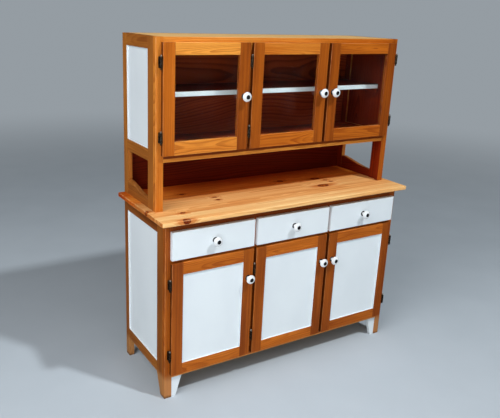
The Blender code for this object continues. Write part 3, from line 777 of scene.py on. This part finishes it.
# The hutch's boards: a top that lies flush between the sides, a bottom, a shelf on battens and two sheets
# nailed in flush at the back. Shelf and back are stained dark, a stain darkened further as painted shade.
# The lower sheet, in the open niche, is painted darker and the upper one, behind the glass, lighter, as
# painted shade and painted light. The shelf's front lip is painted white.
hutch_x, hutch_y = (-0.6277, 0.6277), (hutch_front + frame_thickness + joint, inside_rear)
# Painted light: the top's upper faces are painted paler.
planks("hutch_top", "hutch_top_board", hutch_x, hutch_y, (1.548, 1.566), 4, slot="pine",
       skins={"-z": "dark_pine", "+z": "pale_pine"}, tone=0.6)
planks("hutch_bottom", "hutch_bottom_board", (-0.634, 0.634), hutch_y, (1.084, 1.102), 4, slot="pine",
       tone=0.7, skins={"+z": "dark_pine"})
lip_rear, shelf_z = shelf_front + 0.011, (1.318, 1.338)
board("hutch_shelf_edge", "hutch_shelf", hutch_x, (shelf_front, lip_rear), shelf_z, "x", slot="white_paint",
      soft=((-1, -1), (-1, 1)), round_soft=0.0015)
board("hutch_shelf_board", "hutch_shelf", hutch_x, (lip_rear, inside_rear), shelf_z, "x", slot="white_paint",
      skins={"+z": "dark_pine", "-z": "dark_pine"}, cut="flat")
# Painted shade and painted light: the lower sheet gets a very dark tone, the upper one a light tone.
for name, z, tone in (("lower", (hutch_foot, 1.093), 0.02), ("upper", (1.093, hutch_top), 1.1)):
    board(f"hutch_{name}_back_sheet", "hutch_back_panel", hutch_x, sheet_y, z, "x", slot="dark_pine",
          cut="flat", skins={"+y": "raw_pine"}, tone=tone)


# The knobs: glazed white porcelain on a dark foot plate, with a shiny black cap in the middle. The
# drawers have one in the middle of the front, the doors one on the free stile.
def glazed(name, colour, shade, roughness):
    """Glazed ware with a faint unevenness in the glaze."""
    tree, surface = new_finish(name)
    spot = own_place(tree)
    patch = cloud(spot, (60, 60, 60), 3)
    fill(surface, {"Base Color": between(ramp(patch, 0.3, 0.7), colour, shade), "Coat Weight": 0.6,
                   "Roughness": ramp(patch, 0.3, 0.7, roughness, roughness + 0.05), "Coat Roughness": 0.05,
                   "Normal": bumps(cloud(spot, (220, 220, 220)), 0.06, 0.0004)})


glazed("porcelain", (0.86, 0.87, 0.87), (0.8, 0.81, 0.82), 0.1)
glazed("black_glaze", (0.012, 0.012, 0.014), (0.022, 0.021, 0.022), 0.12)


def turned(name, node, profile, place, axis, finish, steps=24):
    """A closed round piece. The profile holds radius and distance outward from the place, in millimetres."""
    shape = bmesh.new()
    points = []
    for radius, along in profile:
        radius, along = radius / 1000, along / 1000
        offset = (radius, 0, along) if axis == "z" else (radius, -along, 0)
        points.append(shape.verts.new(Vector(place) + Vector(offset)))
    edges = [shape.edges.new(both) for both in zip(points, points[1:])]
    bmesh.ops.spin(shape, geom=points + edges, cent=place, axis=(0, 0, 1) if axis == "z" else (0, 1, 0),
                   angle=2 * pi, steps=steps, use_merge=True)
    bmesh.ops.remove_doubles(shape, verts=shape.verts, dist=1e-6)
    bmesh.ops.recalc_face_normals(shape, faces=shape.faces)
    piece = piece_of(name, shape)
    piece.data.shade_smooth()
    piece.data.set_sharp_from_angle(angle=radians(50))
    piece.data.materials.append(finishes[finish])
    tie(piece, node)


knob_foot = ((0, 0.3), (12.4, 0.3), (12.8, 0.8), (12.7, 1.6), (12, 2.4), (10.6, 2.9), (7.4, 3.1), (0, 3.1))
knob_head = ((0, 3.1), (6.9, 3.1), (7.3, 3.6), (6.9, 4.6), (6.4, 6.5), (6.3, 9), (6.6, 11.5), (7.6, 13.8),
             (9.6, 15.7), (12.6, 17.2), (16, 18.7), (18.8, 20.6), (20.4, 22.8), (21, 25),
             (20.8, 27.2), (19.9, 29.5), (18.2, 31.5), (15.8, 33.2), (13.2, 34.4), (11.2, 35),
             (10.9, 34.9), (10.5, 35.1), (9.9, 35.3), (9.7, 35.2), (9.6, 34.4), (0, 34.4))
knob_cap = ((0, 34.5), (9.4, 34.5), (9.45, 35.3), (8.9, 36), (7.4, 36.5), (4.8, 36.85), (1.9, 36.98),
            (0, 37))


def knob(node, front_plane):
    """One knob, in three turned pieces, in the middle of its solid."""
    x, _, z = extent(node)
    place = (sum(x) / 2, front_plane, sum(z) / 2)
    for part, profile, finish in (("foot", knob_foot, "black_glaze"), ("head", knob_head, "porcelain"),
                                  ("cap", knob_cap, "black_glaze")):
        turned(f"{node}_{part}", node, profile, place, "y", finish, 48)


# The drawers: a white overlay front on a plain pine box with a thin bottom. The box slides on the
# runner frame behind the front.
leaf_depth, wall = 0.019, 0.012
for label in columns:
    node = f"{label}_drawer_front"
    x, y, z = extent(node)
    board(f"{label}_drawer_face", node, x, (front - leaf_depth, y[1]), z, "x", slot="white_paint",
          soft=((-1, -1), (-1, 1)), round_soft=0.0016, end_round=0.0012)
    knob(f"{label}_drawer_knob", front - leaf_depth)
    node = f"{label}_drawer_box"
    x, y, z = extent(node)
    across, within = (x[0] + wall, x[1] - wall), (y[0] + wall, y[1] - wall)
    for name, wall_x in (("left", (x[0], across[0])), ("right", (across[1], x[1]))):
        board(f"{label}_drawer_{name}_wall", node, wall_x, y, z, "y", slot="raw_pine",
              soft=((-1, 1), (1, 1)), round_soft=0.001)
    for name, wall_y in (("inner_front", (y[0], within[0])), ("back", (within[1], y[1]))):
        board(f"{label}_drawer_{name}", node, across, wall_y, z, "x", slot="raw_pine")
    board(f"{label}_drawer_bottom", node, across, within, (z[0] + 0.003, z[0] + 0.009), "x", slot="raw_pine",
          cut="flat")


# The hinges: dark pewter butt hinges with turned finials, two to a door. The fixed half stands on the
# face frame in the gap beside the door, and the middle knuckle and its leaf turn with the door.
def aged_metal(name, dark, bright, roughness):
    """Dark metal with brighter rubbed spots."""
    tree, surface = new_finish(name)
    spot = own_place(tree)
    rub = ramp(cloud(spot, (300, 300, 120), 4, 0.6), 0.45, 0.7)
    fill(surface, {"Base Color": between(rub, dark, bright), "Metallic": 1,
                   "Roughness": ramp(rub, 0, 1, roughness + 0.12, roughness - 0.05),
                   "Normal": bumps(cloud(spot, (900, 900, 900)), 0.2, 0.0003)})


aged_metal("pewter", (0.035, 0.025, 0.018), (0.15, 0.12, 0.09), 0.42)
# The brighter copy: a painted highlight on the upper finials, and the screw heads' brighter metal.
aged_metal("bright_pewter", (0.34, 0.3, 0.26), (0.6, 0.56, 0.5), 0.28)
knuckle = ((0, 0), (4.9, 0), (5.4, 0.4), (5.5, 1), (5.5, 13.6), (5.4, 14.2), (4.9, 14.6), (0, 14.6))
finial = ((0, -0.2), (3.4, -0.2), (3.5, 0.6), (2.6, 1.2), (2.3, 1.7), (3, 2.3), (3.8, 3.3), (4, 4.3),
          (3.7, 5.4), (2.9, 6.4), (1.8, 7.2), (0.8, 7.8), (0, 8))
middle_knuckle = ((0, -7), (4.9, -7), (5.4, -6.6), (5.5, -6), (5.5, 6), (5.4, 6.6), (4.9, 7), (0, 7))
knuckle_start, hinge_end = 0.0073, 0.022


def plate(name, node, x, y, z):
    """A metal plate with eased edges."""
    piece = prism(name, section(x, y, crisp=0.0003), "z", z, 0.0003)
    mark_grain(piece, "z")
    piece.data.materials.append(finishes["pewter"])
    tie(piece, node)


def fixed_half(node, side, x, y, z, plate_y):
    """Knuckles, finials and foot plate on the face frame. The upper finial is brighter, a painted highlight
    where light falls on its top.
    """
    # Painted highlight: the upper finials are brighter pewter than the lower ones.
    ends = (("upper", 1, "bright_pewter"), ("lower", -1, "pewter"))
    for part, profile, away in (("knuckle", knuckle, knuckle_start), ("finial", finial, hinge_end)):
        for name, sign, finish in ends:
            flipped = [(radius, sign * along) for radius, along in profile]
            turned(f"{node}_{name}_{part}", node, flipped, (x, y, z + sign * away), "z",
                   finish if part == "finial" else "pewter")
    plate(f"{node}_foot", node, pair(side, -0.0045, 0.005, x), (plate_y - 0.002, plate_y),
          (z - hinge_end, z + hinge_end))
    for name, sign, _ in ends:
        plate(f"{node}_{name}_web", node, (x - 0.001, x + 0.001), (y + 0.0035, plate_y - 0.001),
              tuple(sorted((z + sign * knuckle_start, z + sign * hinge_end))))


# The doors: stiles and rails of pine with their outer edges rounded. The lower doors hold a white board
# whose sunk edges are painted with it, the upper doors a pane of clear glass.
def pane_glass(name):
    """Clear window glass, with a faint film of dust. The lamps shine straight through it."""
    tree, surface = new_finish(name)
    tint = (0.93, 0.96, 0.955)
    dust = ramp(cloud(own_place(tree), (7, 7, 5), 4, 0.6), 0.4, 0.85, 1, 0.997)
    fill(surface, {"Transmission Weight": dust, "Roughness": 0, "Base Color": tint, "IOR": 1.45})
    clear = put(tree, "BsdfTransparent", {"Color": tint}).outputs[0]
    lamp_light = put(tree, "LightPath").outputs["Is Shadow Ray"]
    both = put(tree, "MixShader", {0: lamp_light, 1: surface.outputs[0], 2: clear}).outputs[0]
    fill(tree.nodes["Material Output"], {"Surface": both})


pane_glass("clear_glass")
stile = 0.053
leaf_screws = []
# The doors' tones: partly the boards' own colour, partly painted light, lighter to the left and on the
# rails.
for tier, face, top_rail, bottom_rail, inset, door_tones_and_painted_light in (
        ("lower", front, 0.055, 0.053, 0.098,
         ((0.1, 0.16, 0.42, 0.4), (0.14, 0.1, 0.42, 0.45), (0.1, 0.06, 0.34, 0.32))),
        ("upper", hutch_front, 0.049, 0.057, 0.077,
         ((0.38, 0.12, 0.95, 0.7), (0.18, 0.18, 0.62, 0.5), (0.12, 0.05, 0.4, 0.26)))):
    upper = tier == "upper"
    front_plane = face - leaf_depth
    y = (front_plane, face - 0.0005)
    for column, label, tones in zip((-1, 0, 1), columns, door_tones_and_painted_light):
        side = -1 if label == "right" else 1
        name = f"{tier}_{label}_door"
        node = f"{name}_frame"
        width = column_pitch - 0.016
        low_x, high_x = column * column_pitch - width / 2, column * column_pitch + width / 2
        z = extent(node)[2]
        inner = (low_x + stile, high_x - stile)
        inner_z = (z[0] + bottom_rail, z[1] - top_rail)
        for part, x, height, run, soft, inward, tone in zip(
                ("left_stile", "right_stile", "top_rail", "bottom_rail"),
                ((low_x, inner[0]), (inner[1], high_x), inner, inner),
                (z, z, (inner_z[1], z[1]), (z[0], inner_z[0])), "zzxx",
                ((-1, -1), (1, -1), (-1, 1), (-1, -1)), ("+x", "-x", "-z", "+z"), tones):
            skins = {} if upper else {inward: "white_paint"}
            # Painted shade on each door's left edge, beside the gap to the face frame.
            if part == "left_stile":
                skins["-x"] = "edge_pine"
            cut, end_round = ("rift", 0.0012) if run == "z" else ("flat", 0.0005)
            board(f"{name}_{part}", node, x, y, height, run, soft=(soft,), cut=cut, end_round=end_round,
                  skins=skins, tone=tone)
        filling, solid, finish, thickness = (("pane", "glass", "clear_glass", 0.004) if upper
                                             else ("board", "panel", "white_paint", 0.006))
        filling_front = front_plane + 0.007
        board(f"{name}_{filling}", f"{name}_{solid}", inner, (filling_front, filling_front + thickness),
              inner_z, "z", slot=finish, crisp=0.0003)
        knob(f"{name}_knob", front_plane)
        axis_x = (low_x if side == 1 else high_x) - side * 0.008
        axis_y = front_plane + 0.001
        hinge_heights = (z[0] + inset, z[1] - inset)
        leaf_screws.append((node, side, axis_x + side * 0.0062, axis_y + 0.0075, hinge_heights))
        for end, height in zip(("bottom", "top"), hinge_heights):
            fixed_half(f"{name}_{end}_hinge", side, axis_x, axis_y, height, face - 0.0003)
            turned(f"{name}_{end}_knuckle", node, middle_knuckle, (axis_x, axis_y, height), "z", "pewter")
            plate(f"{name}_{end}_leaf", node, pair(side, 0.0062, 0.0085, axis_x),
                  (axis_y + 0.0004, axis_y + 0.0145), (height - hinge_end, height + hinge_end))
            plate(f"{name}_{end}_bridge", node, pair(side, 0.0038, 0.0067, axis_x),
                  (axis_y + 0.0008, axis_y + 0.0028), (height - 0.0056, height + 0.0056))


# The nails of the back sheets and the screws of the hinge leaves: small domed steel heads, driven flush.
# One rule sets a head on each of its points, turned to face outward and slightly uneven in size.
def head_rule():
    """A geometry tree that puts one domed head on every point it is given."""
    tree, given = new_group("driven_heads", "GeometryNodeTree", ("INPUT", "Geometry", "Geometry"),
                            ("INPUT", "Vector", "Facing"), ("INPUT", "Float", "Head Radius", "Head Height"),
                            ("INPUT", "Material", "Finish"), ("OUTPUT", "Geometry", "Geometry"))
    tree.is_modifier = True
    radius = given["Head Radius"]
    size = put(tree, "CombineXYZ", {0: radius, 1: radius, 2: given["Head Height"]}).outputs[0]
    dome = put(tree, "GeometryNodeMeshUVSphere", {"Segments": 12, "Rings": 6, "Radius": 1}).outputs[0]
    dome = put(tree, "GeometryNodeTransform", {"Geometry": dome, "Scale": size}).outputs[0]
    facing = put(tree, "FunctionNodeAlignRotationToVector", {"Vector": given["Facing"]}, axis="Z").outputs[0]
    uneven = put(tree, "FunctionNodeRandomValue", {2: 0.9, 3: 1.1, "Seed": 4}, data_type="FLOAT").outputs[1]
    heads = put(tree, "GeometryNodeInstanceOnPoints", {"Points": given["Geometry"], "Instance": dome,
                                                       "Rotation": facing, "Scale": uneven}).outputs[0]
    for kind, more in (("RealizeInstances", {}), ("SetShadeSmooth", {}),
                       ("SetMaterial", {"Material": given["Finish"]})):
        heads = put(tree, f"GeometryNode{kind}", {"Geometry": heads, **more}).outputs[0]
    put(tree, "NodeGroupOutput", {0: heads})
    return tree


heads_on_points = head_rule()


def driven_heads(name, node, places, facing, radius, height, finish):
    """Heads of nails or screws at the given places, baked to one plain piece."""
    mesh = bpy.data.meshes.new(f"{name}_places")
    mesh.from_pydata(places, [], [])
    carrier = linked(f"{name}_places", mesh)
    rule = carrier.modifiers.new("heads", "NODES")
    rule.node_group = heads_on_points
    wanted = {"Facing": facing, "Head Radius": radius, "Head Height": height, "Finish": finishes[finish]}
    for socket in heads_on_points.interface.items_tree:
        if socket.name in wanted:
            rule[socket.identifier] = wanted[socket.name]
    grown = bpy.data.meshes.new_from_object(carrier.evaluated_get(bpy.context.evaluated_depsgraph_get()))
    bpy.data.objects.remove(carrier)
    grown.name = name
    tie(linked(name, grown), node)


def nail_ring(x, z, y, spacing):
    """Places round the edge of a sheet, spaced evenly along each side."""
    columns, rows = ([low + (high - low) * step / round((high - low) / spacing)
                      for step in range(round((high - low) / spacing) + 1)] for low, high in (x, z))
    return ([(along, y, end) for along in columns for end in z]
            + [(end, y, height) for height in rows[1:-1] for end in x])


for name, x, z in (("base", (-0.614, 0.614), (0.111, 0.818)), ("hutch", (-0.617, 0.617), (0.862, 1.555))):
    driven_heads(f"{name}_back_nails", f"{name}_back_panel", nail_ring(x, z, 0.2482, 0.11), (0, 1, 0),
                 0.0021, 0.0006, "pewter")
for node, side, x, y, heights in leaf_screws:
    places = [(x, y, height + shift) for height in heights for shift in (-0.014, 0.014)]
    driven_heads(node.replace("_frame", "_leaf_screws"), node, places, (-side, 0, 0), 0.0019, 0.0004,
                 "bright_pewter")

bpy.context.view_layer.update()
